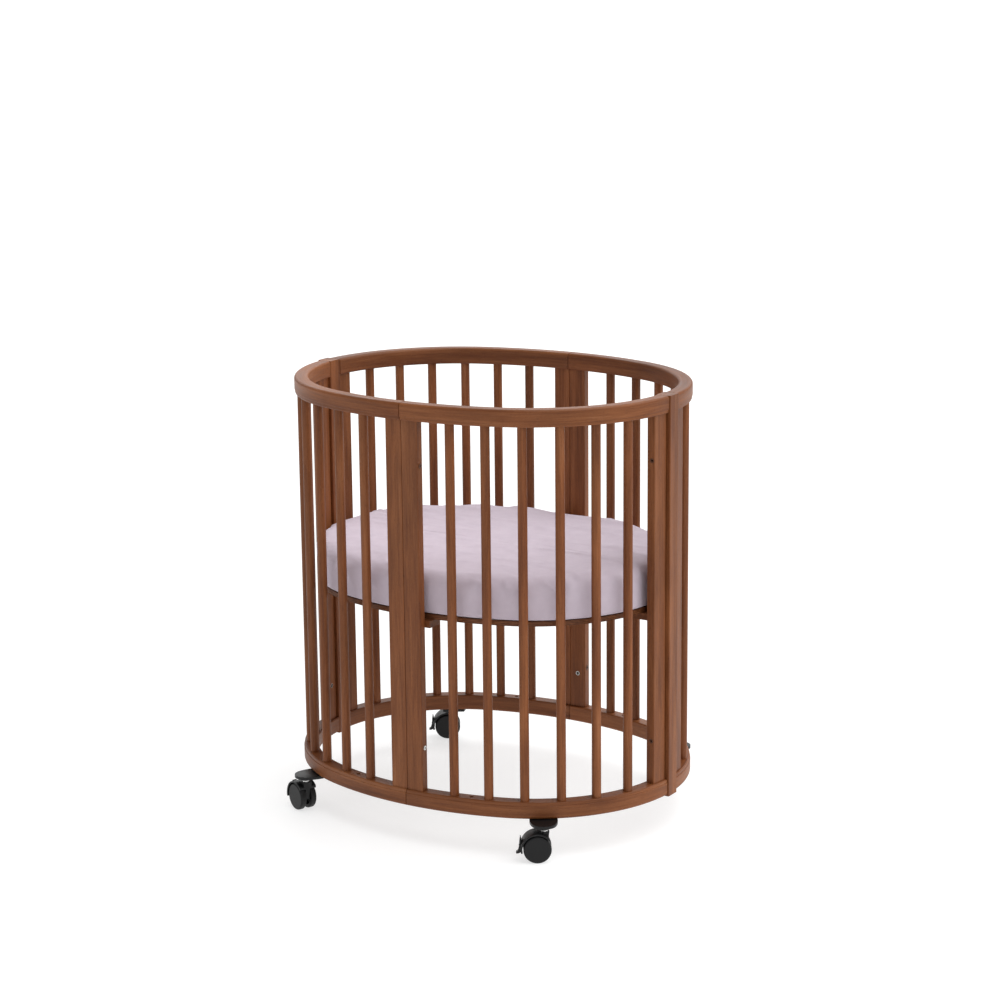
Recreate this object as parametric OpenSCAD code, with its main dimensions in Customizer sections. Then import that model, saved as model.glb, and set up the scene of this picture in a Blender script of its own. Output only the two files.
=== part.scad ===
// Oval mini crib on castors. Millimetres, +Z up, long axis along X, long sides facing +Y and -Y.
// The origin is on the floor, under the middle of the oval.

/* [Oval] */
// Half length of the oval, to the middle of the rails
half_length = 392; // [388:1:400]
// Distance from the middle to the centre of an end's arc
end_x = 99; // [96:3:102]

/* [Heights] */
// Height of the crib from the floor
total_h = 865.5; // [800:0.5:900]
// Height of the bottom rail's underside
rail_z = 75; // [75:1:84]
// Height of the mattress base's underside
base_z = 444; // [300:1:500]
// Height of the lower row of inserts that the base can move to
low_insert_z = 181; // [166:1:186]

/* [Rails] */
// Width of the rails, across the wall of the crib
rail_w = 28.5; // [27:0.5:32]
// Height of the rails
rail_h = 33; // [30:1:36]
// Radius of a rail's rounded crown
crown_r = 5.5; // [3:0.5:7]
// Height of the lip beside the spindles
lip_h = 7; // [5:0.5:9]
// Diameter of the accessory holes in the bottom rails
peg_hole_d = 8; // [6:0.5:9]

/* [Spindles] */
// Diameter of the spindles
spindle_d = 18; // [16:0.5:20]
// Spindles in one quarter
spindle_count = 6; // [4:1:6]
// Distance from one spindle to the next, along the rail
spindle_pitch = 69.8; // [66:0.2:72]
// Distance from the middle of a long side to its first spindle
first_spindle = 97.9; // [94:0.1:104]

/* [Boards] */
// Width of the boards at the long sides
board_w = 35.5; // [34:0.5:37]
// Width of the boards at the tips
tip_board_w = 37; // [34:0.5:38]
// Thickness of the boards
board_t = 18; // [16:0.5:18]
// Width of the strip between the rails at each tip
strip_w = 33; // [28:1:36]
// How far the strip stands proud of the rails
strip_proud = 2; // [0:0.5:5]

/* [Mattress] */
// Gap from the middle of the rails to the edge of the base
base_inset = 25; // [22:1:30]
// Thickness of the base
base_t = 9.5; // [8:0.5:12]
// Thickness of the mattress
mattress_t = 82; // [60:1:100]

/* [Castors] */
// Radius of a castor wheel
wheel_r = 27; // [25:0.5:27]
// Width of one wheel
wheel_w = 12.5; // [10:0.5:13]
// Distance from the stem's axis to the axle
trail = 13; // [12:0.5:15]
// How far the stems stand outside the middle of the rails
castor_out = 33; // [30:1:36]

/* [Hidden] */
$fn = 64;

wood = "#8a5a3c";
wood_edge = "#6b442b";
steel = "#c9c9c6";
black = "#232323";
lilac = "#cdbfca";

// The oval is four arcs, tangent where the outward normal runs along turn_run. The centres of an
// end's arc and a side's arc are the corners of a 12, 35, 37 triangle, so their places are exact.
turn_run = [12, 35];
side_y = end_x / turn_run.x * turn_run.y;
end_radius = half_length - end_x;
side_radius = end_radius + norm(turn_run) * end_x / turn_run.x;
half_width = side_radius - side_y;
turn = atan2(turn_run.y, turn_run.x);
side_arc = side_radius * (90 - turn) * PI / 180;
quarter_arc = side_arc + end_radius * turn * PI / 180;

rail_top = rail_z + rail_h;
crown_z = total_h - rail_h;
lip_step = 1.2;
lip_r = 2.5;
small_r = 1.2;
end_relief = 0.8;
joint_gap = 0.5;
tenon = 12;
glue_gap = 0.05;
board_r = 2;
dowel_d = 8;
dowel_l = 36;
peg_hole_depth = 20;
strip_drop = 2;
strip_r = 2;

bolt_d = 6;
head_d = 9;
head_t = 1.2;
section_bolt_z = [rail_top + 86, crown_z - 86];

base_top = base_z + base_t;
cleat_t = 13;
insert_z = [low_insert_z, base_z - cleat_t / 2];
soft_gap = 0.3;
sheet_t = 1.5;
cleat_w = 92;
cleat_reach = 34;
slot_w = 16;
slot_pitch = 55;
insert_t = 10;

axle_d = 8;
axle_gap = 0.05;
web_t = 10;
wheel_gap = 0.5;
tread_r = 2.5;
face_r = 4;
hood_r = 32;
hood_t = 3.2;
hood_w = web_t + 2 * (wheel_w + wheel_gap) + 1;
hood_top = 60;
stem_d = 6;
stem_foot = 40;
stem_in = 8.5;
socket_d = 20;
socket_z = 55.5;
housing_w = 18;
hood_front = 9;
collar_d = 15;
boss_z = rail_z - 11.7;
nose_h = 5.5;
screw_y = [-15, 15];
screw_d = 3.4;
screw_l = 13;
lever_pivot = [-trail - 31.5, wheel_r + 3];
lever_pin_r = 1.6;
lever_w = 9.4;
lever_slot_x = 27;

// Outward normal, in degrees from X, at arc length s from the middle of a long side
function normal_at(s) = s < side_arc ? 90 - s / side_radius * 180 / PI
                                     : turn - (s - side_arc) / end_radius * 180 / PI;
// Point at arc length s, moved outwards by off
function point_at(s, off) =
    let (n = normal_at(s))
    s < side_arc ? [(side_radius + off) * cos(n), (side_radius + off) * sin(n) - side_y]
                 : [end_x + (end_radius + off) * cos(n), (end_radius + off) * sin(n)];

castor_s = first_spindle + (spindle_count - 1) / 2 * spindle_pitch;
castor_n = normal_at(castor_s);
castor_p = point_at(castor_s, castor_out);

// Each castor: side of the crib in X and in Y, and the way it trails, in degrees from X
CASTORS = [["front", 1, -1, 213], ["right", 1, 1, 208], ["back", -1, 1, 213], ["left", -1, -1, 156]];

// ---- placing ----

// Children made in the quarter with X and Y positive, moved to another quarter
module quarter(sx, sy) {
    if (sx > 0 && sy > 0) children();
    else if (sx > 0) mirror([0, 1, 0]) children();
    else if (sy > 0) mirror([1, 0, 0]) children();
    else rotate([0, 0, 180]) children();
}

// Children moved to arc length s, with their X pointing outwards
module at_path(s, off = 0) {
    p = point_at(s, off);
    translate([p.x, p.y, 0]) rotate([0, 0, normal_at(s)]) children();
}

module all_quarters() {
    for (sx = [1, -1], sy = [1, -1]) quarter(sx, sy) children();
}

// The part of an end's arc with Y positive, as a wedge from the arc's centre
module end_wedge() {
    polygon([[end_x, 0], [2 * half_length, 0], [end_x, 0] + 20 * turn_run]);
}

// The part of a side's arc with X positive, as a wedge from the arc's centre
module side_wedge() {
    polygon([[0, -side_y], [0, -side_y] + 30 * turn_run, [0, 2 * half_length]]);
}

// The oval as a flat shape, off outwards of the rails' middle
module oval(off) {
    for (side = [0, 1]) mirror([side, 0]) for (end = [0, 1]) mirror([0, end]) {
        intersection() {
            translate([end_x, 0]) circle(r = end_radius + off, $fn = 240);
            end_wedge();
        }
        intersection() {
            translate([0, -side_y]) circle(r = side_radius + off, $fn = 240);
            side_wedge();
        }
    }
}

// A rectangle with its own radius at each corner, from low left round to high left
module rounded_quad(x0, y0, x1, y1, r) {
    polygon([[x0 + r[0], y0], [x1 - r[1], y0], [x1, y0 + r[1]], [x1, y1 - r[2]],
             [x1 - r[2], y1], [x0 + r[3], y1], [x0, y1 - r[3]], [x0, y0 + r[0]]]);
    translate([x0 + r[0], y0 + r[0]]) circle(r = r[0], $fn = 32);
    translate([x1 - r[1], y0 + r[1]]) circle(r = r[1], $fn = 32);
    translate([x1 - r[2], y1 - r[2]]) circle(r = r[2], $fn = 32);
    translate([x0 + r[3], y1 - r[3]]) circle(r = r[3], $fn = 32);
}

// ---- rails ----

// Section of a rail, X outwards, crown down, shrunk by cut all round
module rail_section(cut = 0) {
    w = rail_w / 2 - cut;
    face = rail_h - lip_h;
    rounded_quad(-w, cut, w, face, [crown_r - cut, crown_r - cut, small_r, small_r]);
    rounded_quad(-w, face - 8, w - lip_step, rail_h - cut, [small_r, small_r, lip_r, lip_r]);
}

// A quarter turn of its flat child, standing on z = 0
module bent_quarter() {
    intersection() {
        translate([end_x, 0, 0]) rotate_extrude($fn = 240) translate([end_radius, 0]) children();
        translate([0, 0, -1]) linear_extrude(rail_h + 2) end_wedge();
    }
    intersection() {
        translate([0, -side_y, 0]) rotate_extrude($fn = 240) translate([side_radius, 0]) children();
        translate([0, 0, -1]) linear_extrude(rail_h + 2) side_wedge();
    }
}

// A rail's wood without its holes: the ends step in a little where two quarters meet
module rail_blank() {
    difference() {
        bent_quarter() rail_section();
        translate([-5, half_width - 30, -1]) cube([5 + joint_gap / 2 + end_relief, 60, rail_h + 2]);
        translate([half_length - 40, -5, -1])
            cube([80, 5 + strip_w / 2 + joint_gap / 2 + end_relief, rail_h + 2]);
    }
    difference() {
        bent_quarter() rail_section(end_relief);
        translate([-5, half_width - 30, -1]) cube([5 + joint_gap / 2, 60, rail_h + 2]);
        translate([half_length - 40, -5, -1]) cube([80, 5 + strip_w / 2 + joint_gap / 2, rail_h + 2]);
        at_path(quarter_arc / 2) translate([-40, -150, -1]) cube([80, 300, rail_h + 2]);
    }
}

// Blind holes in the lip side of a rail, which is at z = rail_h
module rail_holes() {
    for (i = [0 : spindle_count - 1])
        at_path(first_spindle + i * spindle_pitch)
            translate([0, 0, rail_h - tenon]) cylinder(h = tenon + 1, d = spindle_d + 2 * glue_gap);
    board_places() translate([0, 0, rail_h - dowel_l / 2])
        cylinder(h = dowel_l / 2 + 1, d = dowel_d + 2 * glue_gap);
}

// What only a bottom rail has: the hole for an accessory, and pilot holes for the bracket's screws
module bottom_holes() {
    at_path(first_spindle + spindle_pitch / 2)
        translate([0, 0, rail_h - peg_hole_depth]) cylinder(h = peg_hole_depth + 1, d = peg_hole_d);
    at_path(castor_s) for (y = screw_y)
        translate([0, y, -1]) cylinder(h = screw_l + 2, d = screw_d + 2 * glue_gap);
}

module bottom_rail() {
    color(wood) translate([0, 0, rail_z]) difference() {
        rail_blank();
        rail_holes();
        bottom_holes();
    }
}

module top_rail() {
    color(wood) translate([0, 0, total_h]) mirror([0, 0, 1]) difference() {
        rail_blank();
        rail_holes();
    }
}

// ---- spindles and boards ----

module spindles() {
    color(wood)
        for (i = [0 : spindle_count - 1])
            at_path(first_spindle + i * spindle_pitch)
                translate([0, 0, rail_top - tenon + 0.2])
                    cylinder(h = crown_z - rail_top + 2 * tenon - 0.4, d = spindle_d);
}

long_board_s = board_w / 2 + 0.15;
tip_board_s = quarter_arc - strip_w / 2 - 1.3 - tip_board_w / 2;

// A tip's bolts: their X, and the Y of the seats of their heads
tip_bolt_x = point_at(tip_board_s, 0).x;
tip_seat_y = point_at(tip_board_s - tip_board_w / 2, 0).y - 0.8;

// The middles of a quarter's two boards. A long side's board stands square to Y.
module long_board_place() {
    translate([long_board_s, half_width, 0]) rotate([0, 0, 90]) children();
}

module board_places() {
    long_board_place() children();
    at_path(tip_board_s) children();
}

// A board between the rails, with a dowel hole in each end
module board(w) {
    difference() {
        translate([0, 0, rail_top]) linear_extrude(crown_z - rail_top)
            rounded_quad(-board_t / 2, -w / 2, board_t / 2, w / 2, [board_r, board_r, board_r, board_r]);
        for (z = [rail_top - 1, crown_z - dowel_l / 2])
            translate([0, 0, z]) cylinder(h = dowel_l / 2 + 1, d = dowel_d + 2 * glue_gap);
    }
}

// Holes into a board's inner face for the inserts of the base
module insert_holes() {
    for (z = insert_z) translate([-board_t / 2 - 1, 0, z]) rotate([0, 90, 0])
        cylinder(h = insert_t + 1, d = head_d + 2 * glue_gap);
}

// Holes along X for the bolts at a long side
module long_bolt_holes() {
    for (z = section_bolt_z) translate([0, half_width, z]) rotate([0, 90, 0])
        cylinder(h = 4 * board_w, d = bolt_d + 0.4, center = true);
}

// Holes along Y for the bolts at a tip, with flat seats for their heads
module tip_bolt_holes() {
    for (z = section_bolt_z) translate([tip_bolt_x, 0, z]) rotate([-90, 0, 0]) {
        cylinder(h = 4 * tip_board_w, d = bolt_d + 0.4, center = true);
        translate([0, 0, tip_seat_y]) cylinder(h = 20, d = head_d + 0.6);
    }
}

module long_board(with_insert) {
    color(wood_edge) difference() {
        long_board_place() board(board_w);
        long_bolt_holes();
        if (with_insert) long_board_place() insert_holes();
    }
}

module tip_board(with_insert) {
    color(wood_edge) difference() {
        at_path(tip_board_s) board(tip_board_w);
        tip_bolt_holes();
        if (with_insert) at_path(tip_board_s) insert_holes();
    }
}

// The strip that stands between the rails' ends, wider than the rails, with its board beside it
module tip_post(with_insert) {
    color(wood_edge) difference() {
        union() {
            translate([half_length, 0, rail_z - strip_drop]) linear_extrude(total_h - rail_z + strip_drop)
                rounded_quad(-rail_w / 2 - 0.5, -strip_w / 2, rail_w / 2 + strip_proud, strip_w / 2,
                             [strip_r, strip_r, strip_r, strip_r]);
            at_path(tip_board_s) board(tip_board_w);
            translate([tip_bolt_x - 4, strip_w / 2 - 2, rail_top + 0.5])
                cube([10, 8, crown_z - rail_top - 1]);
        }
        tip_bolt_holes();
        if (with_insert) at_path(tip_board_s) insert_holes();
    }
}

module board_dowels() {
    color("tan") all_quarters() board_places()
        for (z = [rail_top - dowel_l / 2 + 0.5, crown_z - dowel_l / 2 + 0.5])
            translate([0, 0, z]) cylinder(h = dowel_l - 1, d = dowel_d);
}

// ---- section fasteners ----

// A bolt along +Y from its head, which is at y = 0
module section_bolt(l) {
    difference() {
        union() {
            rotate([90, 0, 0]) cylinder(h = head_t, d = head_d);
            rotate([-90, 0, 0]) cylinder(h = l, d = bolt_d);
        }
        translate([0, 3, 0]) rotate([90, 0, 0]) cylinder(h = 5, d = 4, $fn = 6);
    }
}

module section_bolts() {
    color(steel) for (z = section_bolt_z) {
        for (turned = [0, 180]) rotate([0, 0, turned]) {
            translate([board_w + 0.15, -half_width, z]) rotate([0, 0, 90]) section_bolt(2 * board_w - 8);
            translate([tip_bolt_x, tip_seat_y, z]) mirror([0, 1, 0]) section_bolt(2 * tip_seat_y - 8);
        }
    }
}

module section_nuts() {
    color(steel) for (z = section_bolt_z) {
        for (turned = [0, 180]) rotate([0, 0, turned]) {
            translate([-board_w - 0.15, -half_width, z]) rotate([0, 90, 0]) sleeve_nut();
            translate([tip_bolt_x, -tip_seat_y, z]) rotate([-90, 0, 0]) sleeve_nut();
        }
    }
}

// A flange nut whose flange lies outside z = 0
module sleeve_nut() {
    translate([0, 0, -head_t]) difference() {
        cylinder(h = head_t, d = head_d);
        translate([0, 0, -1]) cylinder(h = head_t + 2, d = 4);
    }
}

// ---- mattress support ----

// Places of the four cleats: children are made with X outwards, at the boards' inner faces
module cleat_places() {
    for (side = [1, -1]) {
        rotate([0, 0, side > 0 ? 90 : 270]) translate([half_width - board_t / 2 - soft_gap, 0, 0]) children();
        rotate([0, 0, side > 0 ? 0 : 180])
            translate([half_length - rail_w / 2 - 1, 0, 0]) children();
    }
}

// Places of the inserts, with X into the board's inner face
module insert_places() {
    for (turned = [0, 180]) rotate([0, 0, turned]) {
        translate([long_board_s, half_width - board_t / 2, 0]) rotate([0, 0, 90]) children();
        at_path(tip_board_s, -board_t / 2) children();
    }
}

// Children at the two screws of each cleat
module cleat_screw_places() {
    cleat_places() for (y = [-34, 20]) translate([-cleat_reach + 9, y, base_z]) children();
}

module mattress_base() {
    color(wood) difference() {
        translate([0, 0, base_z]) linear_extrude(base_t) oval(-base_inset);
        for (x = [-4 : 4], row = [-1, 1])
            translate([x * slot_pitch, row * (108 - 5 * abs(x)), base_z - 1]) slot(110 - 14 * abs(x));
        cleat_screw_places() translate([0, 0, -1]) cylinder(h = 6, d = 3.1);
    }
}

// An air slot of length l along Y, through the base
module slot(l) {
    linear_extrude(base_t + 2) {
        square([slot_w, l - slot_w], center = true);
        for (end = [1, -1]) translate([0, end * (l - slot_w) / 2]) circle(d = slot_w, $fn = 32);
    }
}

module base_cleats() {
    color(wood_edge) difference() {
        cleat_places() translate([-cleat_reach, -cleat_w / 2, base_z - cleat_t])
            cube([cleat_reach, cleat_w, cleat_t]);
        insert_places() translate([-60, 0, base_z - cleat_t / 2]) rotate([0, 90, 0])
            cylinder(h = 62, d = bolt_d + 0.4);
        cleat_screw_places() translate([0, 0, -cleat_t - 1]) cylinder(h = cleat_t + 2, d = 4.2);
    }
}

// Bolts from the cleats' inner sides into the inserts
module base_bolts() {
    reach = cleat_reach + 8;
    color(steel) insert_places() translate([-reach, 0, base_z - cleat_t / 2]) rotate([0, 90, 0])
        difference() {
            union() {
                cylinder(h = 3, d = 11);
                cylinder(h = reach + 6, d = bolt_d);
            }
            translate([0, 0, -1]) cylinder(h = 3, d = 4, $fn = 6);
        }
}

module base_screws() {
    color(steel) cleat_screw_places() translate([0, 0, -cleat_t]) {
        translate([0, 0, -1.6]) cylinder(h = 1.6, d = 8);
        cylinder(h = cleat_t + 4.5, d = 3);
    }
}

// Ring inserts at the low and the used height
module base_inserts() {
    color(steel) insert_places() for (z = insert_z) translate([0, 0, z]) ring_insert();
}

// A sleeve that runs along +X from a face at x = 0
module ring_insert() {
    rotate([0, 90, 0]) difference() {
        translate([0, 0, -0.2]) cylinder(h = insert_t, d = head_d);
        translate([0, 0, -1]) cylinder(h = insert_t + 2, d = bolt_d + 0.3);
    }
}

// ---- soft parts ----

module mattress() {
    color("white") translate([0, 0, base_top + soft_gap])
        linear_extrude(mattress_t) oval(-base_inset + 1);
}

module fitted_sheet() {
    color(lilac) difference() {
        translate([0, 0, base_top + soft_gap]) linear_extrude(mattress_t + sheet_t + 0.3)
            oval(-base_inset + 1.3 + sheet_t);
        translate([0, 0, base_top]) linear_extrude(mattress_t + soft_gap + 0.3) oval(-base_inset + 1.3);
    }
}

// ---- castors ----

// Children made with the stem's axis at the origin and X trailing backwards of the castor
module castor_place(c) {
    translate([c[1] * castor_p.x, c[2] * castor_p.y, 0]) rotate([0, 0, c[3] + 180]) children();
}

// Children made with the stem's axis at the origin and X outwards of the crib
module bracket_place(c) {
    quarter(c[1], c[2]) translate([castor_p.x, castor_p.y, 0]) rotate([0, 0, castor_n]) children();
}

// Plate under the rail with a leaf-shaped nose, and the boss that holds the stem
module castor_bracket(c) {
    color(black) bracket_place(c) difference() {
        union() {
            translate([0, 0, rail_z - nose_h]) linear_extrude(nose_h) bracket_outline();
            translate([0, 0, boss_z]) cylinder(h = rail_z - boss_z - nose_h / 2, d = 17);
        }
        translate([0, 0, boss_z - 1]) cylinder(h = stem_in + 2, d = stem_d);
        for (y = screw_y)
            translate([-castor_out, y, rail_z - nose_h - 1]) cylinder(h = nose_h + 2, d = screw_d + 0.3);
    }
}

// Two long arcs with a round nose between them; the plate stops inside the rail
module bracket_outline() {
    intersection() {
        translate([-19, -43]) circle(r = 70);
        translate([-19, 43]) circle(r = 70);
        union() {
            translate([-3, 0]) circle(r = 24);
            translate([-castor_out - 11, -40]) square([castor_out + 19, 80]);
        }
    }
}

module bracket_screws() {
    color(steel) for (c = CASTORS) bracket_place(c)
        for (y = screw_y) translate([-castor_out, y, rail_z - nose_h]) {
            translate([0, 0, -1.6]) cylinder(h = 1.6, d = 7);
            cylinder(h = nose_h + screw_l, d = screw_d);
        }
}

module castor_stem(c) {
    color(steel) castor_place(c) {
        translate([0, 0, stem_foot]) cylinder(h = boss_z + stem_in - stem_foot, d = stem_d - 0.02);
        translate([0, 0, hood_top + 0.3]) cylinder(h = boss_z - hood_top - 0.3, d = collar_d);
    }
}

// Children drawn flat: X is the way the castor faces, Y is up; they become w thick across it
module across(w) {
    rotate([90, 0, 0]) translate([0, 0, -w / 2]) linear_extrude(w) children();
}

// Web between the wheels, mudguards over them, the stem's housing, and the ears of the lever
module castor_hood(c) {
    color(black) castor_place(c) difference() {
        union() {
            across(web_t) {
                translate([-trail, wheel_r]) circle(r = 14);
                hood_half();
                translate([-7, wheel_r - 2]) square([7 + hood_front, hood_top - wheel_r + 2]);
            }
            across(hood_w) mudguard();
            across(housing_w) housing();
            translate([0, 0, socket_z]) cylinder(h = hood_top - socket_z, d = socket_d);
            for (side = [1, -1]) translate([0, side * 6.5, 0]) across(3)
                translate(lever_pivot) circle(r = 3.6, $fn = 32);
        }
        translate([0, 0, stem_foot - 1]) cylinder(h = 40, d = stem_d + 2 * axle_gap);
        translate([-trail, 0, wheel_r]) rotate([90, 0, 0]) cylinder(h = 30, d = axle_d, center = true);
        translate([lever_pivot.x, 0, lever_pivot.y]) rotate([90, 0, 0])
            cylinder(h = 17, r = lever_pin_r + axle_gap, center = true);
        translate([-trail - 60, -web_t / 2, wheel_r - 20]) cube([60 - lever_slot_x, web_t, 37]);
    }
}

// The half of the hood's disc above the axle, up to its flat front
module hood_half() {
    intersection() {
        translate([-trail, wheel_r]) circle(r = hood_r);
        translate([-trail - hood_r - 1, wheel_r]) square([trail + hood_r + 1 + hood_front, hood_r + 5]);
    }
}

// Ring sector over the wheels, from behind the axle to the flat front
module mudguard() {
    difference() {
        translate([-trail, wheel_r]) circle(r = hood_r);
        translate([-trail, wheel_r]) circle(r = hood_r - hood_t);
        translate([-trail - 60, -40]) square([120, 40 + wheel_r - 6]);
        translate([hood_front, -40]) square([60, 140]);
    }
}

// Block round the stem, above the wheels
module housing() {
    difference() {
        translate([-hood_front, wheel_r]) square([2 * hood_front, hood_top - wheel_r]);
        translate([-trail, wheel_r]) circle(r = hood_r - hood_t);
    }
}

module castor_axle(c) {
    color(steel) castor_place(c) translate([-trail, 0, wheel_r]) rotate([90, 0, 0])
        cylinder(h = web_t + 2 * (wheel_w - 3), d = axle_d - 0.02, center = true);
}

// A wheel with its inner side at y = 0: a hollow cup with a hub, blind and rounded at the outside
module wheel_solid() {
    rotate([-90, 0, 0]) rotate_extrude($fn = 96) difference() {
        union() {
            translate([0, tread_r]) square([wheel_r, wheel_w - tread_r - face_r]);
            square([wheel_r - tread_r, wheel_w - face_r]);
            square([wheel_r - face_r, wheel_w]);
            translate([wheel_r - tread_r, tread_r]) circle(r = tread_r, $fn = 32);
            translate([wheel_r - face_r, wheel_w - face_r]) circle(r = face_r, $fn = 32);
        }
        translate([0, -1]) square([axle_d / 2 + axle_gap, wheel_w - 2]);
        translate([8, -1]) square([12, wheel_w - 3]);
    }
}

module wheel(c, side) {
    color(black) castor_place(c) translate([-trail, side * (web_t / 2 + wheel_gap), wheel_r])
        mirror([0, side > 0 ? 0 : 1, 0]) wheel_solid();
}

// A pedal with a blade above its pivot and a thumb piece below
module brake_lever(c) {
    color(black) castor_place(c) {
        across(lever_w) lever_outline();
        translate([lever_pivot.x, 0, lever_pivot.y]) rotate([90, 0, 0])
            cylinder(h = 16, r = lever_pin_r, center = true);
    }
}

module lever_outline() {
    translate(lever_pivot) {
        circle(r = 3, $fn = 32);
        polygon([[-2.9, -0.5], [2.9, 0], [2.2, 9], [0, 20.4], [-1.1, 20.9], [-2.6, 10]]);
        polygon([[-2.9, 0.5], [2.9, 0], [1, -10.5], [-4, -13.2], [-8, -13.2], [-4.6, -6]]);
        translate([-7.2, -11.8]) circle(r = 1.8, $fn = 32);
    }
}

// ---- nodes ----

quarter(1, -1) top_rail();  // top_rail_front_right
quarter(-1, -1) top_rail();  // top_rail_front_left
quarter(1, 1) top_rail();  // top_rail_back_right
quarter(-1, 1) top_rail();  // top_rail_back_left
quarter(1, -1) bottom_rail();  // bottom_rail_front_right
quarter(-1, -1) bottom_rail();  // bottom_rail_front_left
quarter(1, 1) bottom_rail();  // bottom_rail_back_right
quarter(-1, 1) bottom_rail();  // bottom_rail_back_left
quarter(1, -1) spindles();  // spindles_front_right
quarter(-1, -1) spindles();  // spindles_front_left
quarter(1, 1) spindles();  // spindles_back_right
quarter(-1, 1) spindles();  // spindles_back_left
quarter(1, -1) long_board(false);  // board_front_right
quarter(-1, -1) long_board(true);  // board_front_left
quarter(1, 1) long_board(true);  // board_back_right
quarter(-1, 1) long_board(false);  // board_back_left
quarter(1, -1) tip_board(false);  // tip_board_right
quarter(-1, -1) tip_board(true);  // tip_board_left
quarter(1, 1) tip_post(true);  // tip_post_right
quarter(-1, 1) tip_post(false);  // tip_post_left
board_dowels();
section_bolts();
section_nuts();
mattress_base();
base_cleats();
base_screws();
base_bolts();
base_inserts();
mattress();
fitted_sheet();
bracket_screws();
for (c = CASTORS) {
    castor_bracket(c);
    castor_stem(c);
    castor_hood(c);
    castor_axle(c);
    wheel(c, 1);
    wheel(c, -1);
    brake_lever(c);
}
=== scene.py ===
"""Oval mini crib on castors: materials, bedding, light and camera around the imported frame."""
import math
import bmesh
import bpy
from mathutils import Euler, Matrix, Vector, noise


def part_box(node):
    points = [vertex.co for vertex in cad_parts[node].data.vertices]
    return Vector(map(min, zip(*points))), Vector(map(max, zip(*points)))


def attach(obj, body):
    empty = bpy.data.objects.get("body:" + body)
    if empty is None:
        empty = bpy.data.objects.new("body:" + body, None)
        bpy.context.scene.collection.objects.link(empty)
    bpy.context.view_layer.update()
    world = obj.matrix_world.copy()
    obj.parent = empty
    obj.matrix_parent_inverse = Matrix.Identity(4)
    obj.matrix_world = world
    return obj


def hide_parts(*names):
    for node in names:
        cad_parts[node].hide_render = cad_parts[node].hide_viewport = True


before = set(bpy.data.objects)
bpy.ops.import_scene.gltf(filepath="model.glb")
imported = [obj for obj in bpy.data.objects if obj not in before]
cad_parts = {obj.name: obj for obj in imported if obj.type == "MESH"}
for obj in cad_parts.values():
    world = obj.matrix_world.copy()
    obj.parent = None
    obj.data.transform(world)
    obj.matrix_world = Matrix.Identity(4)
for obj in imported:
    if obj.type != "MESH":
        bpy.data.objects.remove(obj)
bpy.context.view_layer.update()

# The oval's four arcs, to the middle of the rails, in metres
END_X = 0.099
SIDE_Y = END_X * 35 / 12
END_RADIUS = 0.293
SIDE_RADIUS = END_RADIUS + math.hypot(END_X, SIDE_Y)
HALF_WIDTH = SIDE_RADIUS - SIDE_Y
TURN = math.atan2(SIDE_Y, END_X)
SIDE_ARC = SIDE_RADIUS * (math.pi / 2 - TURN)
QUARTER_ARC = SIDE_ARC + END_RADIUS * TURN
FIRST_SPINDLE = 0.0979
SPINDLE_PITCH = 0.0698

QUARTERS = ("front_right", "front_left", "back_right", "back_left")
CASTORS = ("front", "right", "back", "left")

# Colours, linear
STAIN = ((0.086, 0.0215, 0.0045), (0.162, 0.048, 0.0125), (0.232, 0.077, 0.0235), (0.325, 0.130, 0.053))
PORE = (0.030, 0.009, 0.004, 1)
BEECH_FLECK = (0.31, 0.145, 0.070, 1)
VENEER = ((0.075, 0.022, 0.007), (0.160, 0.055, 0.020), (0.235, 0.095, 0.042))
ZINC = (0.62, 0.62, 0.60)
CASTOR_STEEL = (0.72, 0.72, 0.71)
BROWN_CAP = ((0.085, 0.027, 0.009), (0.115, 0.040, 0.015))
HOOD_BLACK = (0.0058, 0.0058, 0.0062)
WHEEL_BLACK = (0.0046, 0.0046, 0.0050)
LILAC = ((0.600, 0.515, 0.590), (0.650, 0.562, 0.637))
COVER_WHITE = ((0.70, 0.69, 0.66), (0.78, 0.77, 0.745))

# Repeats of the small patterns, in metres
PLY_PAIR = 0.0032
KNIT_WALE = 0.0011
KNIT_COURSE = 0.0009
COVER_THREAD = 0.0012
COVER_QUILT = 0.045

# The sheet may sink this far towards the pad
DEEPEST_FOLD = -0.0014

# Heads of the section bolts above this height have caps
CAPS_FROM = 0.4
CAP_ROUGHNESS = 0.45


# ---- the oval ----

def oval_point(s, off):
    """Point at arc length s round the whole oval from the middle of the +Y side, moved out by off."""
    s = s % (4 * QUARTER_ARC)
    quarter = int(s // QUARTER_ARC)
    t = s - quarter * QUARTER_ARC
    if quarter % 2:
        t = QUARTER_ARC - t
    if t < SIDE_ARC:
        n = math.pi / 2 - t / SIDE_RADIUS
        x, y = (SIDE_RADIUS + off) * math.cos(n), (SIDE_RADIUS + off) * math.sin(n) - SIDE_Y
    else:
        n = TURN - (t - SIDE_ARC) / END_RADIUS
        x, y = END_X + (END_RADIUS + off) * math.cos(n), (END_RADIUS + off) * math.sin(n)
    sx = 1 if quarter in (0, 1) else -1
    sy = 1 if quarter in (0, 3) else -1
    return Vector((sx * x, sy * y, 0))


# ---- node helpers ----

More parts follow.
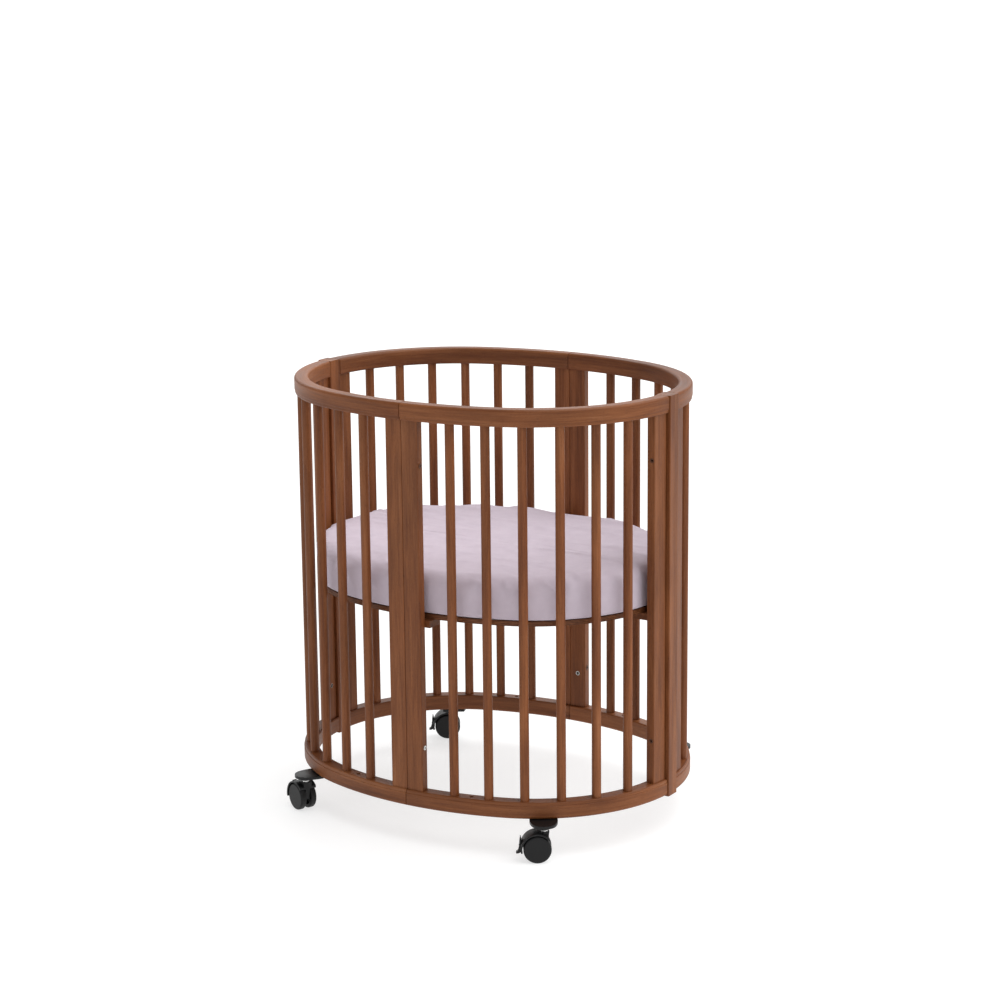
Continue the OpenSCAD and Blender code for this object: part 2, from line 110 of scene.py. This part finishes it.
class Nodes:
    """Short calls for building one node tree. A socket or a number can be an input anywhere."""

    def __init__(self, tree):
        self.tree = tree
        self.column = 0

    def new(self, kind, **settings):
        node = self.tree.nodes.new(kind)
        node.location = (180 * (self.column % 12) - 2400, -220 * (self.column // 12))
        self.column += 1
        for name, value in settings.items():
            setattr(node, name, value)
        return node

    def put(self, socket, value):
        if isinstance(value, bpy.types.NodeSocket):
            self.tree.links.new(value, socket)
        elif value is not None:
            socket.default_value = value

    def math(self, operation, a, b=None, c=None):
        node = self.new("ShaderNodeMath", operation=operation)
        for socket, value in zip(node.inputs, (a, b, c)):
            self.put(socket, value)
        return node.outputs[0]

    def length(self, a, b):
        """Length of a flat vector with sides a and b."""
        squares = self.math("ADD", self.math("MULTIPLY", a, a), self.math("MULTIPLY", b, b))
        return self.math("SQRT", squares)

    def wave(self, value, pitch):
        return self.math("SINE", self.math("MULTIPLY", value, 2 * math.pi / pitch))

    def mix(self, kind, factor, a, b, blend="MIX"):
        """kind is FLOAT or RGBA, whose sockets stand at different places in the Mix node."""
        node = self.new("ShaderNodeMix", data_type=kind, blend_type=blend)
        first, result = {"FLOAT": (2, 0), "RGBA": (6, 2)}[kind]
        self.put(node.inputs[0], factor)
        self.put(node.inputs[first], a)
        self.put(node.inputs[first + 1], b)
        return node.outputs[result]

    def tint(self, factor, colour, other):
        return self.mix("RGBA", factor, colour, other, "MULTIPLY")

    def ramp(self, value, *stops):
        """Each stop is (position, number or colour)."""
        node = self.new("ShaderNodeValToRGB")
        elements = node.color_ramp.elements
        while len(elements) < len(stops):
            elements.new(1)
        for element, (position, colour) in zip(elements, stops):
            if not isinstance(colour, tuple):
                colour = (colour, colour, colour)
            element.position = position
            element.color = (*colour, 1)
        self.put(node.inputs[0], value)
        return node.outputs[0]

    def noise(self, vector, scale, detail=3.0, rough=0.5, warp=0.0):
        node = self.new("ShaderNodeTexNoise")
        self.put(node.inputs["Vector"], vector)
        self.put(node.inputs["Scale"], scale)
        self.put(node.inputs["Detail"], detail)
        self.put(node.inputs["Roughness"], rough)
        self.put(node.inputs["Distortion"], warp)
        return node.outputs[0]

    def vector(self, x, y, z):
        node = self.new("ShaderNodeCombineXYZ")
        for socket, value in zip(node.inputs, (x, y, z)):
            self.put(socket, value)
        return node.outputs[0]

    def scaled(self, vector, scale):
        node = self.new("ShaderNodeVectorMath", operation="MULTIPLY")
        self.put(node.inputs[0], vector)
        self.put(node.inputs[1], scale)
        return node.outputs[0]

    def object_place(self):
        return self.new("ShaderNodeTexCoord").outputs["Object"]

    def levelness(self):
        """How level the surface is: 1 where it faces up or down, 0 where it is upright."""
        normal = self.split(self.new("ShaderNodeNewGeometry").outputs["Normal"])
        return self.math("ABSOLUTE", normal[2])

    def split(self, vector):
        node = self.new("ShaderNodeSeparateXYZ")
        self.put(node.inputs[0], vector)
        return node.outputs

    def bump(self, height, distance, strength):
        node = self.new("ShaderNodeBump")
        self.put(node.inputs["Height"], height)
        self.put(node.inputs["Distance"], distance)
        self.put(node.inputs["Strength"], strength)
        return node.outputs[0]


def material(name, **constants):
    """A material with one Principled shader, its constant sockets set. Returns it, Nodes, shader."""
    made = bpy.data.materials.new(name)
    made.use_nodes = True
    made.node_tree.nodes.clear()
    nodes = Nodes(made.node_tree)
    shader = nodes.new("ShaderNodeBsdfPrincipled")
    output = nodes.new("ShaderNodeOutputMaterial")
    made.node_tree.links.new(shader.outputs[0], output.inputs[0])
    for socket, value in constants.items():
        shader.inputs[socket.replace("_", " ")].default_value = value
    return made, nodes, shader


def dress(node_name, made):
    """Give a CAD node's object a material in all its slots."""
    obj = bpy.data.objects[node_name]
    if not obj.material_slots:
        obj.data.materials.append(made)
    for one in obj.material_slots:
        one.material = made


# ---- materials ----

def oval_coordinates(n):
    """Sockets (along, out, up, quadrant): arc length from a long side's middle, distance outside
    the middle of the rails, height, and a number that differs in each quarter."""
    x, y, up = n.split(n.object_place())
    ax, ay = n.math("ABSOLUTE", x), n.math("ABSOLUTE", y)
    dx, dy = n.math("SUBTRACT", ax, END_X), n.math("ADD", ay, SIDE_Y)
    end_angle = n.math("ARCTAN2", ay, dx)
    side_angle = n.math("ARCTAN2", dy, ax)
    end_out = n.math("SUBTRACT", n.length(dx, ay), END_RADIUS)
    side_out = n.math("SUBTRACT", n.length(ax, dy), SIDE_RADIUS)
    end_along = n.math("MULTIPLY_ADD", n.math("SUBTRACT", TURN, end_angle), END_RADIUS, SIDE_ARC)
    side_along = n.math("MULTIPLY", n.math("SUBTRACT", math.pi / 2, side_angle), SIDE_RADIUS)
    at_end = n.math("LESS_THAN", end_angle, TURN)
    along = n.mix("FLOAT", at_end, side_along, end_along)
    out = n.mix("FLOAT", at_end, side_out, end_out)
    quadrant = n.math("MULTIPLY_ADD", n.math("SIGN", x), 3.7, n.math("MULTIPLY", n.math("SIGN", y), 1.9))
    return along, out, up, quadrant


def wood(name, grain, seed, tone=1.0):
    """Walnut-stained beech. grain is "rail" (along the curve), "upright" or "spindle"; tone makes
    the stain paler or darker."""
    made, n, shader = material(name, Specular_IOR_Level=0.2, Coat_Weight=0.1, Coat_Roughness=0.25)
    along, out, up, quadrant = oval_coordinates(n)
    # each quarter and each spindle is cut from its own place in the wood
    piece = n.math("MULTIPLY_ADD", quadrant, 0.61, seed)
    if grain == "spindle":
        place = n.math("DIVIDE", n.math("SUBTRACT", along, FIRST_SPINDLE), SPINDLE_PITCH)
        piece = n.math("MULTIPLY_ADD", n.math("ROUND", place), 1.37, piece)
    run, across = (along, up) if grain == "rail" else (up, along)
    shift = n.math("MULTIPLY", piece, 0.83)
    here = n.vector(n.math("ADD", run, shift), n.math("ADD", across, piece), out)
    # broad bands, then fibres, then short pores and the pale flecks of beech
    band = n.noise(n.scaled(here, (3.2, 42, 42)), 1.0, 3, 0.55, 0.35)
    streak = n.noise(n.scaled(here, (9, 210, 210)), 1.0, 3, 0.6, 0.2)
    fibre = n.noise(n.scaled(here, (34, 900, 900)), 1.0, 3, 0.6)
    pore = n.noise(n.scaled(here, (150, 1700, 1700)), 1.0, 2, 0.5)
    fleck = n.noise(n.scaled(here, (260, 1150, 1150)), 1.0, 1, 0.4)
    cloud = n.noise(n.scaled(here, (5, 9, 9)), 1.0, 2, 0.5)
    grain_value = n.math("ADD", n.math("MULTIPLY", band, 0.5), n.math("MULTIPLY", streak, 0.32))
    grain_value = n.math("ADD", grain_value, n.math("MULTIPLY", fibre, 0.18))
    dark, low, high, pale = (tuple(tone * c for c in colour) for colour in STAIN)
    colour = n.ramp(grain_value, (0.30, dark), (0.44, low), (0.56, high), (0.72, pale))
    patch = n.ramp(cloud, (0.3, 0.86), (0.7, 1.1))
    colour = n.tint(1.0, colour, patch)
    own = n.new("ShaderNodeTexWhiteNoise", noise_dimensions="1D")
    n.put(own.inputs["W"], n.math("ROUND", n.math("MULTIPLY", piece, 100)))
    colour = n.tint(1.0, colour, n.ramp(own.outputs[0], (0.0, 0.88), (1.0, 1.1)))
    pores = n.ramp(pore, (0.30, 1.0), (0.38, 0.0))
    colour = n.mix("RGBA", n.math("MULTIPLY", pores, 0.55), colour, PORE)
    flecks = n.ramp(fleck, (0.66, 0.0), (0.74, 1.0))
    colour = n.mix("RGBA", n.math("MULTIPLY", flecks, 0.22), colour, BEECH_FLECK)
    n.put(shader.inputs["Base Color"], colour)
    n.put(shader.inputs["Roughness"], n.ramp(streak, (0.3, 0.44), (0.7, 0.58)))
    height = n.math("SUBTRACT", n.math("MULTIPLY", fibre, 0.5), n.math("MULTIPLY", pores, 0.6))
    n.put(shader.inputs["Normal"], n.bump(height, 0.00012, 0.6))
    return made


def plywood():
    """Stained face veneer with the thin layers of ply along the edge."""
    made, n, shader = material("plywood_stained", Specular_IOR_Level=0.15, Coat_Weight=0.1,
                               Coat_Roughness=0.3)
    place = n.object_place()
    face = n.noise(n.scaled(place, (4, 90, 90)), 1.0, 4, 0.6, 0.8)
    fine = n.noise(n.scaled(place, (40, 1200, 1200)), 1.0, 2, 0.6)
    value = n.math("MULTIPLY_ADD", fine, 0.25, n.math("MULTIPLY", face, 0.75))
    colour = n.ramp(value, (0.34, VENEER[0]), (0.55, VENEER[1]), (0.72, VENEER[2]))
    layer = n.math("FRACT", n.math("MULTIPLY", n.split(place)[2], 1 / PLY_PAIR))
    layers = n.ramp(layer, (0.42, 0.62), (0.50, 1.12), (0.92, 1.12), (1.0, 0.62))
    side = n.math("LESS_THAN", n.levelness(), 0.5)
    n.put(shader.inputs["Base Color"], n.tint(side, colour, layers))
    n.put(shader.inputs["Roughness"], n.ramp(face, (0.3, 0.46), (0.7, 0.6)))
    n.put(shader.inputs["Normal"], n.bump(value, 0.0001, 0.5))
    return made


def steel(name, colour, caps="none"):
    """Bright zinc with fine turning marks and a few dull spots. caps says which heads have brown
    plastic caps: "none", "high" (those above CAPS_FROM) or "all"."""
    made, n, shader = material(name)
    place = n.object_place()
    marks = n.noise(n.scaled(place, (300, 300, 5200)), 1.0, 2, 0.5)
    spots = n.noise(place, 160, 4, 0.6)
    dull = n.ramp(spots, (0.45, 0.0), (0.75, 1.0))
    low = tuple(0.8 * c for c in colour)
    bare = n.mix("RGBA", dull, (*colour, 1), (*low, 1))
    worn = n.math("MULTIPLY_ADD", dull, 0.16, n.math("MULTIPLY_ADD", marks, 0.12, 0.18))
    cap = n.ramp(spots, (0.3, BROWN_CAP[0]), (0.7, BROWN_CAP[1]))
    if caps == "high":
        capped = n.math("GREATER_THAN", n.split(place)[2], CAPS_FROM)
        n.put(shader.inputs["Base Color"], n.mix("RGBA", capped, bare, cap))
        n.put(shader.inputs["Metallic"], n.math("SUBTRACT", 1.0, capped))
        n.put(shader.inputs["Roughness"], n.mix("FLOAT", capped, worn, CAP_ROUGHNESS))
    else:
        n.put(shader.inputs["Base Color"], cap if caps == "all" else bare)
        n.put(shader.inputs["Metallic"], 0.0 if caps == "all" else 1.0)
        n.put(shader.inputs["Roughness"], CAP_ROUGHNESS if caps == "all" else worn)
    n.put(shader.inputs["Normal"], n.bump(marks, 0.00003, 0.5))
    return made


def plastic(name, colour, rough, grain):
    """Moulded black plastic with a fine eroded grain and light scuffs."""
    made, n, shader = material(name, Specular_IOR_Level=0.3)
    place = n.object_place()
    fine = n.noise(place, grain, 3, 0.6)
    scuff = n.noise(n.scaled(place, (60, 60, 190)), 1.0, 4, 0.7, 1.2)
    scuffs = n.ramp(scuff, (0.60, 0.0), (0.74, 1.0))
    pale = tuple(2.2 * c + 0.01 for c in colour)
    rubbed = n.math("MULTIPLY", scuffs, 0.4)
    matt = n.math("MULTIPLY_ADD", fine, 0.14, rough)
    n.put(shader.inputs["Base Color"], n.mix("RGBA", rubbed, (*colour, 1), (*pale, 1)))
    n.put(shader.inputs["Roughness"], n.math("MULTIPLY_ADD", scuffs, 0.14, matt))
    n.put(shader.inputs["Normal"], n.bump(fine, 0.00006, 0.5))
    return made


def jersey():
    """Lilac jersey cotton: fine ribs of stitches, soft nap, slight mottling."""
    made, n, shader = material("sheet_jersey", Sheen_Weight=0.12, Sheen_Roughness=0.45,
                               Sheen_Tint=(0.93, 0.88, 0.95, 1), Specular_IOR_Level=0.22)
    place = n.object_place()
    x, y, z = n.split(place)
    flat = n.math("GREATER_THAN", n.levelness(), 0.6)
    around = n.math("MULTIPLY", n.math("ARCTAN2", y, x), 0.33)
    wale = n.mix("FLOAT", flat, around, x)
    course = n.mix("FLOAT", flat, z, y)
    ribs = n.wave(wale, KNIT_WALE)
    sway = n.math("MULTIPLY", ribs, 0.9)
    loops = n.math("SINE", n.math("MULTIPLY_ADD", course, 2 * math.pi / KNIT_COURSE, sway))
    knit = n.math("ADD", n.math("MULTIPLY", ribs, 0.6), n.math("MULTIPLY", loops, 0.4))
    nap = n.noise(place, 2600, 2, 0.6)
    mottle = n.noise(place, 34, 3, 0.6)
    colour = n.ramp(mottle, (0.3, LILAC[0]), (0.7, LILAC[1]))
    shade = n.math("MULTIPLY_ADD", knit, 0.035, n.math("MULTIPLY_ADD", nap, 0.08, 0.94))
    grey = n.vector(shade, shade, shade)
    n.put(shader.inputs["Base Color"], n.tint(1.0, colour, grey))
    n.put(shader.inputs["Roughness"], n.math("MULTIPLY_ADD", nap, 0.12, 0.80))
    height = n.math("MULTIPLY_ADD", nap, 0.8, n.math("MULTIPLY", knit, 0.5))
    n.put(shader.inputs["Normal"], n.bump(height, 0.00015, 0.55))
    return made


def ticking():
    """White woven mattress cover with a quilted waffle."""
    made, n, shader = material("mattress_ticking", Sheen_Weight=0.2, Specular_IOR_Level=0.2)
    place = n.object_place()
    x, y, z = n.split(place)
    weft = n.wave(n.math("ADD", x, z), COVER_THREAD)
    warp = n.wave(n.math("ADD", y, z), COVER_THREAD)
    weave = n.math("MULTIPLY", weft, warp)
    cells = n.math("MULTIPLY", n.wave(x, COVER_QUILT), n.wave(y, COVER_QUILT))
    stain = n.noise(place, 18, 3, 0.6)
    n.put(shader.inputs["Base Color"], n.ramp(stain, (0.3, COVER_WHITE[0]), (0.7, COVER_WHITE[1])))
    n.put(shader.inputs["Roughness"], n.math("MULTIPLY_ADD", stain, 0.1, 0.78))
    height = n.math("MULTIPLY_ADD", cells, 1.5, n.math("MULTIPLY", weave, 0.2))
    n.put(shader.inputs["Normal"], n.bump(height, 0.0004, 0.6))
    return made


def studio_floor():
    """White floor that glows a little, so that the shadow on it stays light."""
    made, n, shader = material("studio_floor", Specular_IOR_Level=0.12)
    place = n.object_place()
    n.put(shader.inputs["Base Color"], n.ramp(n.noise(place, 0.6, 2, 0.5), (0.3, 0.40), (0.7, 0.41)))
    shader.inputs["Emission Color"].default_value = (1.0, 1.0, 1.0, 1)
    shader.inputs["Emission Strength"].default_value = 0.66
    n.put(shader.inputs["Roughness"], n.ramp(n.noise(place, 3.0, 3, 0.6), (0.3, 0.62), (0.7, 0.7)))
    return made


# ---- bedding ----

def new_object(name, bm, smooth=True):
    """An object in the scene with bm's mesh; bm is used up."""
    mesh = bpy.data.meshes.new(name)
    bm.to_mesh(mesh)
    bm.free()
    for face in mesh.polygons:
        face.use_smooth = smooth
    obj = bpy.data.objects.new(name, mesh)
    bpy.context.scene.collection.objects.link(obj)
    return obj


def apply_modifiers(obj):
    bpy.context.view_layer.update()
    graph = bpy.context.evaluated_depsgraph_get()
    mesh = bpy.data.meshes.new_from_object(obj.evaluated_get(graph))
    obj.modifiers.clear()
    obj.data = mesh


def arc(off, z, radius, start, end, steps):
    """Points (off, z) on a quarter of a circle; angles in degrees, 0 pointing outwards, 90 up."""
    angles = [math.radians(start + (end - start) * i / steps) for i in range(steps + 1)]
    return [(off + radius * math.cos(a), z + radius * math.sin(a)) for a in angles]


def oval_rings(bm, profile, count):
    """A loop of vertices round the oval for each (off, z), joined to the next by faces."""
    loops = []
    for off, z in profile:
        places = [oval_point(4 * QUARTER_ARC * k / count, off) for k in range(count)]
        loops.append([bm.verts.new((place.x, place.y, z)) for place in places])
    for a, b in zip(loops, loops[1:]):
        for k in range(count):
            bm.faces.new((a[k], b[k], b[(k + 1) % count], a[(k + 1) % count]))
    return loops


def close_middle(bm, loop, steps):
    """Rings that shrink from a small loop to a vertex at the middle."""
    count, z = len(loop), loop[0].co.z
    outer = loop
    for i in range(1, steps):
        share = 1 - i / steps
        ring = [bm.verts.new((v.co.x * share, v.co.y * share, z)) for v in loop]
        for k in range(count):
            bm.faces.new((outer[k], ring[k], ring[(k + 1) % count], outer[(k + 1) % count]))
        outer = ring
    middle = bm.verts.new((0, 0, z))
    for k in range(count):
        bm.faces.new((outer[k], middle, outer[(k + 1) % count]))


def inwards(off, z, steps):
    """Profile points at one height from off to near the oval's long axis."""
    last = 0.02 - HALF_WIDTH
    return [(off + (last - off) * i / steps, z) for i in range(1, steps + 1)]


def folds(place, stretch, seed):
    """Smooth noise from -1 to 1 at a place whose axes are scaled by stretch."""
    x, y, z = (a * b for a, b in zip(place, stretch))
    return noise.noise(Vector((x + seed, y - seed, z + 2 * seed)))


def crease(value, width):
    """1 on the line where value crosses zero, falling to 0 within width."""
    return max(0.0, 1 - abs(value) / width) ** 2


def ease(value, low, high):
    t = min(1.0, max(0.0, (value - low) / (high - low)))
    return t * t * (3 - 2 * t)


def sheet_fold(co, low, high):
    """How far a point of the sheet at co moves out of the sheet's surface."""
    sx, sy = (1 if co.x > 0 else -1), (1 if co.y > 0 else -1)
    if math.atan2(abs(co.y), abs(co.x) - END_X) < TURN:
        along = Vector((-sy * abs(co.y), sx * (abs(co.x) - END_X), 0)).normalized()
    else:
        along = Vector((-sy * (abs(co.y) + SIDE_Y), sx * abs(co.x), 0)).normalized()
    if sx * sy < 0:
        along = -along
    height = (co.z - low) / (high - low)
    # hanging folds down the side, leaning both ways below the shoulder, and gathers at the hem
    lean = co + along * (co.z - high) * 0.55
    back = co - along * (co.z - high) * 0.9
    drop = 0.0042 * folds(co, (13, 13, 5), 3.1) + 0.0018 * folds(co, (34, 34, 8), 7.7)
    drop += 0.0068 * crease(folds(lean, (11, 11, 1.5), 5.3), 0.16) * ease(height, 0.15, 0.7)
    drop += 0.0056 * crease(folds(back, (12, 12, 1.5), 9.9), 0.13) * ease(height, 0.3, 0.8)
    drop += 0.0010 * folds(co, (70, 70, 3), 1.9) * (1 - ease(height, 0.0, 0.3))
    # long shallow creases over the top, along the oval, with finer ones beside them
    flat = Vector((co.x, co.y, 0))
    turned = Vector((co.x, co.y + 0.16 * co.x, 0))
    top = 0.0030 * folds(flat, (3.0, 9, 1), 2.4) + 0.0010 * folds(flat, (9, 30, 1), 6.1)
    top += 0.0036 * crease(folds(turned, (2.6, 12, 1), 8.8), 0.10)
    top += 0.0024 * crease(folds(flat, (4.5, 21, 1), 4.4), 0.12)
    # pulls that run in from the shoulder, where the elastic draws the cloth down
    edge = ease(math.hypot(co.x / 0.37, co.y / 0.29), 0.72, 1.0)
    pull = 0.0045 * edge * folds(co, (15, 15, 2), 11.3)
    return drop * (1 - ease(height, 0.82, 1.0)) + (top + pull) * ease(height, 0.72, 1.0)


def make_mattress():
    """The foam mattress in its cover, with round edges at the top and the bottom."""
    low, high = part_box("mattress")
    off, shoulder, foot = -0.0275, 0.022, 0.008
    top = high[2] - 0.003
    bottom = low[2] + 0.0005
    profile = [*reversed(inwards(off - foot, bottom, 12)),
               *arc(off - foot, bottom + foot, foot, -90, 0, 4),
               *arc(off - shoulder, top - shoulder, shoulder, 0, 90, 7),
               *inwards(off - shoulder, top, 16)]
    bm = bmesh.new()
    loops = oval_rings(bm, profile, 200)
    close_middle(bm, loops[0], 3)
    close_middle(bm, loops[-1], 3)
    bmesh.ops.recalc_face_normals(bm, faces=bm.faces)
    pad = new_object("mattress_pad", bm)
    pad.data.materials.append(ticking())
    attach(pad, "mattress")
    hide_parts("mattress")
    return pad


def make_sheet(pad):
    """The fitted sheet: one surface over the top and shoulder, down the side and in under the edge."""
    low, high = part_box("fitted_sheet")
    off, shoulder, hem = -0.0238, 0.026, 0.004
    top, bottom = high[2] - 0.0012, low[2] + 0.0012
    side = [(off, bottom + hem + (top - shoulder - bottom - hem) * i / 13) for i in range(1, 13)]
    profile = [(off - 3 * hem, bottom), (off - 2 * hem, bottom),
               *arc(off - hem, bottom + hem, hem, -90, 0, 3), *side,
               *arc(off - shoulder, top - shoulder, shoulder, 0, 90, 9),
               *inwards(off - shoulder, top, 40)]
    bm = bmesh.new()
    loops = oval_rings(bm, profile, 420)
    close_middle(bm, loops[-1], 4)
    bmesh.ops.recalc_face_normals(bm, faces=bm.faces)
    bm.normal_update()
    moves = [(v, v.normal.copy(), sheet_fold(v.co, bottom, top)) for v in bm.verts]
    for v, normal, move in moves:
        if v.co.z > bottom + 0.5 * hem:
            v.co += normal * max(move, DEEPEST_FOLD)
    bmesh.ops.smooth_vert(bm, verts=bm.verts, factor=0.35, use_axis_x=True, use_axis_y=True,
                          use_axis_z=True)
    if sum(face.normal.z for face in bm.faces) < 0:
        bmesh.ops.reverse_faces(bm, faces=bm.faces)
    sheet = new_object("sheet_jersey", bm)
    sheet.data.materials.append(jersey())
    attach(sheet, "mattress")
    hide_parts("fitted_sheet")


# ---- castors ----

def soften(node, width, made):
    """A copy of a moulded CAD part with rounded edges stands in for it."""
    source = bpy.data.objects[node]
    bm = bmesh.new()
    bm.from_mesh(source.data)
    bmesh.ops.remove_doubles(bm, verts=bm.verts, dist=1e-6)
    bmesh.ops.dissolve_limit(bm, angle_limit=math.radians(0.5), verts=bm.verts, edges=bm.edges)
    copy = new_object(f"{node}_moulded", bm)
    bevel = copy.modifiers.new("rounding", "BEVEL")
    bevel.width = width
    bevel.segments = 3
    bevel.limit_method = "ANGLE"
    bevel.angle_limit = math.radians(40)
    apply_modifiers(copy)
    copy.data.materials.clear()
    copy.data.materials.append(made)
    return copy


# ---- stage ----

def make_floor():
    """A floor that reaches past the horizon of every view."""
    bm = bmesh.new()
    bmesh.ops.create_grid(bm, x_segments=4, y_segments=4, size=150)
    floor = new_object("floor", bm, smooth=False)
    floor.data.materials.append(studio_floor())


def area_light(name, place, target, size, power):
    light = bpy.data.lights.new(name, "AREA")
    light.shape = "RECTANGLE"
    light.size, light.size_y = size
    light.energy = power
    obj = bpy.data.objects.new(name, light)
    obj.location = place
    obj.rotation_euler = (Vector(target) - Vector(place)).to_track_quat("-Z", "Y").to_euler()
    bpy.context.scene.collection.objects.link(obj)


def make_light():
    """White surroundings, a wide soft light from above and the right, and one behind the crib."""
    world = bpy.data.worlds.new("studio")
    world.use_nodes = True
    background = world.node_tree.nodes["Background"]
    background.inputs["Color"].default_value = (1, 1, 1, 1)
    background.inputs["Strength"].default_value = 0.5
    scene = bpy.context.scene
    scene.world = world
    scene.view_settings.view_transform = "Standard"
    sky = bpy.data.lights.new("overhead", "SUN")
    sky.energy = 2.7
    sky.angle = math.radians(75)
    obj = bpy.data.objects.new("overhead", sky)
    obj.rotation_euler = Vector((-0.5, -0.28, -1)).to_track_quat("-Z", "Y").to_euler()
    scene.collection.objects.link(obj)
    area_light("behind", (-4.2, 6.6, 3.9), (0, 0, 0.7), (9, 3.4), 150)


def make_camera():
    """At the photograph's view: 32 degrees round from the front, and looking a little down."""
    camera = bpy.data.cameras.new("camera")
    camera.sensor_width = 36
    camera.lens = 92.41
    camera.clip_end = 100
    obj = bpy.data.objects.new("camera", camera)
    place, target = Vector((2.660, -4.196, 1.7583)), Vector((0.017, 0, 0.6173))
    turn = (target - place).to_track_quat("-Z", "Y").to_matrix()
    roll = Euler((0, 0, math.radians(-0.58))).to_matrix()
    obj.matrix_world = Matrix.Translation(place) @ (turn @ roll).to_4x4()
    bpy.context.scene.collection.objects.link(obj)
    bpy.context.scene.camera = obj


# ---- the crib ----

def dress_frame():
    """Materials of the CAD nodes that keep their own shape."""
    top_rail = wood("wood_top_rail", "rail", 1.3)
    bottom_rail = wood("wood_bottom_rail", "rail", 8.9)
    spindles = wood("wood_spindles", "spindle", 4.1)
    boards = wood("wood_boards", "upright", 6.7)
    for quarter in QUARTERS:
        dress(f"top_rail_{quarter}", top_rail)
        dress(f"bottom_rail_{quarter}", bottom_rail)
        dress(f"spindles_{quarter}", spindles)
        dress(f"board_{quarter}", boards)
    tips = wood("wood_tips", "upright", 2.2)
    for name in ("tip_board_right", "tip_board_left", "tip_post_right", "tip_post_left"):
        dress(name, tips)
    dress("base_cleats", wood("wood_cleats", "rail", 5.5, 0.8))
    dress("board_dowels", wood("wood_dowels", "upright", 3.3, 2.4))
    dress("mattress_base", plywood())
    bright = steel("steel_bright", ZINC)
    for name in ("base_screws", "base_bolts", "base_inserts", "bracket_screws"):
        dress(name, bright)
    dress("section_bolts", steel("steel_bolts", ZINC, "high"))
    dress("section_nuts", steel("steel_nuts", ZINC, "all"))


def dress_castors():
    """Materials of the castors, and rounded copies of their moulded parts."""
    bright = steel("steel_castor", CASTOR_STEEL)
    body = plastic("plastic_hood", HOOD_BLACK, 0.34, 2400)
    wheel = plastic("plastic_wheel", WHEEL_BLACK, 0.40, 3400)
    for castor in CASTORS:
        for name in ("castor_stem", "castor_axle"):
            dress(f"{name}_{castor}", bright)
        for name in ("wheel_inner", "wheel_outer"):
            dress(f"{name}_{castor}", wheel)
        for name, rides_on, rounding in (("castor_bracket", "frame", 0.0018),
                                         ("castor_hood", f"castor_{castor}", 0.0010),
                                         ("brake_lever", f"brake_{castor}", 0.0008)):
            moulded = soften(f"{name}_{castor}", rounding, body)
            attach(moulded, rides_on)
            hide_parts(f"{name}_{castor}")


make_camera()
make_floor()
make_light()
dress_frame()
dress_castors()
make_sheet(make_mattress())
